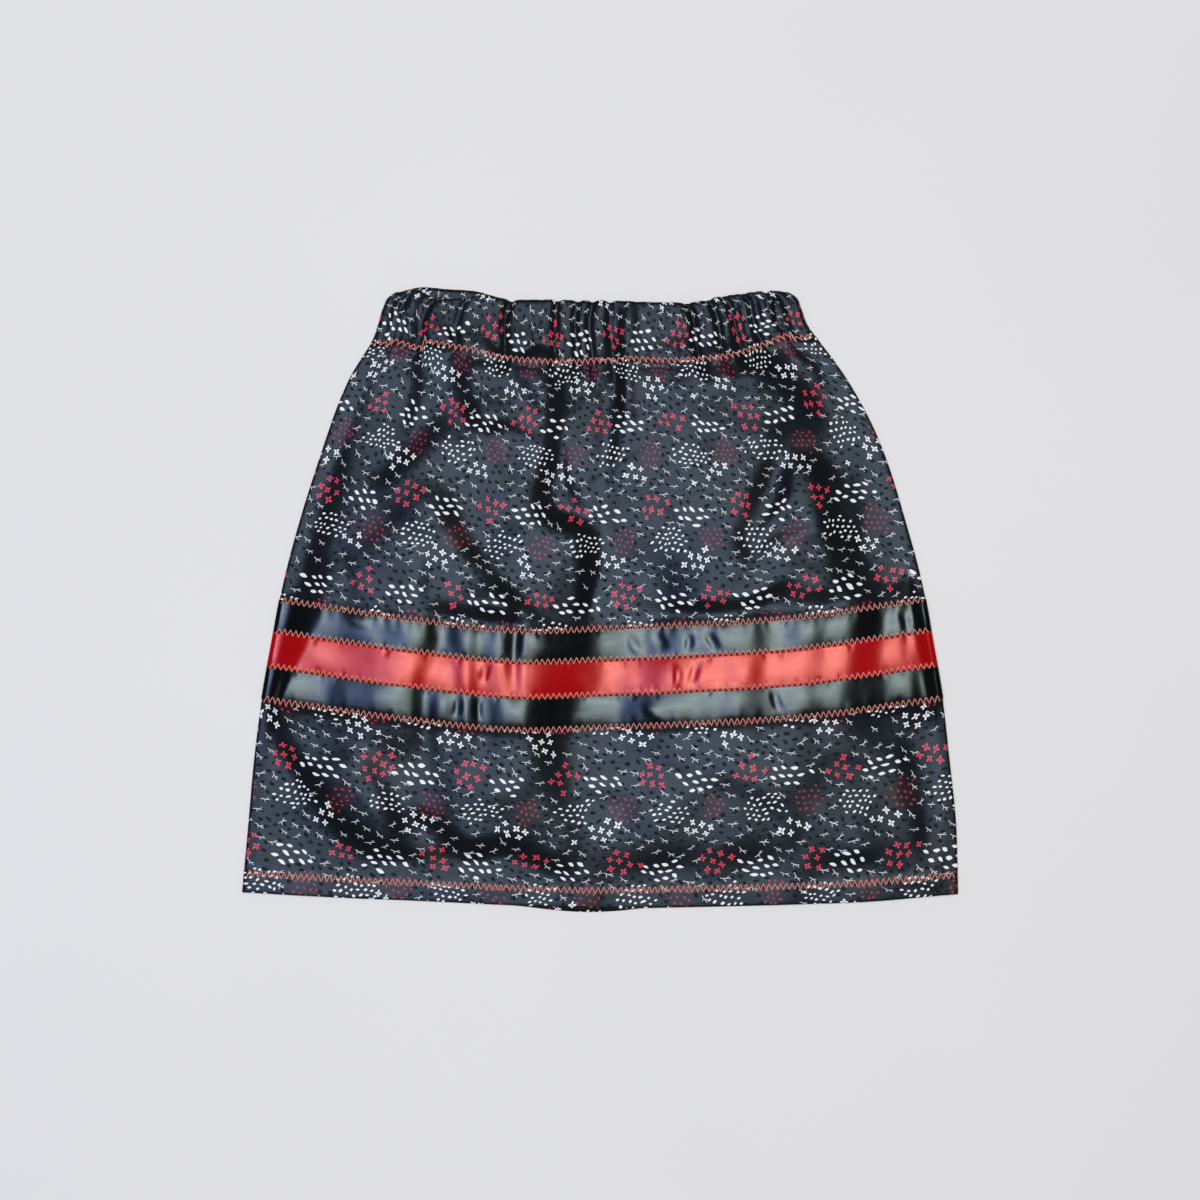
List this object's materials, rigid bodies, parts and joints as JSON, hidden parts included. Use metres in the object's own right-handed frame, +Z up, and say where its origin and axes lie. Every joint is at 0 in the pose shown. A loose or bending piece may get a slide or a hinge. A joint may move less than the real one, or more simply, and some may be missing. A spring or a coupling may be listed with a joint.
{
  "type": "ribbon skirt",
  "caption": "Pull-on cotton skirt with an elastic waist and three satin ribbons sewn round it above the hem, lying flat.",
  "frame": {"origin": "centre of the flat skirt, on the surface that it lies on", "axes": "+X across the skirt, from its left side seam as seen from above to its right one, +Y towards the waist, +Z up out of the front of the skirt"},
  "size_m": [0.4761, 0.4151, 0.0092],
  "materials": {
    "cotton": "satin",
    "ribbon_charcoal": "satin",
    "ribbon_red": "satin",
    "stitching": "matte"
  },
  "bodies": {
    "root": {"front_panel": "cotton", "back_panel": "cotton", "ribbon_upper_front": "ribbon_charcoal", "ribbon_upper_back": "ribbon_charcoal", "ribbon_middle_front": "ribbon_red", "ribbon_middle_back": "ribbon_red", "ribbon_lower_front": "ribbon_charcoal", "ribbon_lower_back": "ribbon_charcoal"}
  },
  "joints": []
}
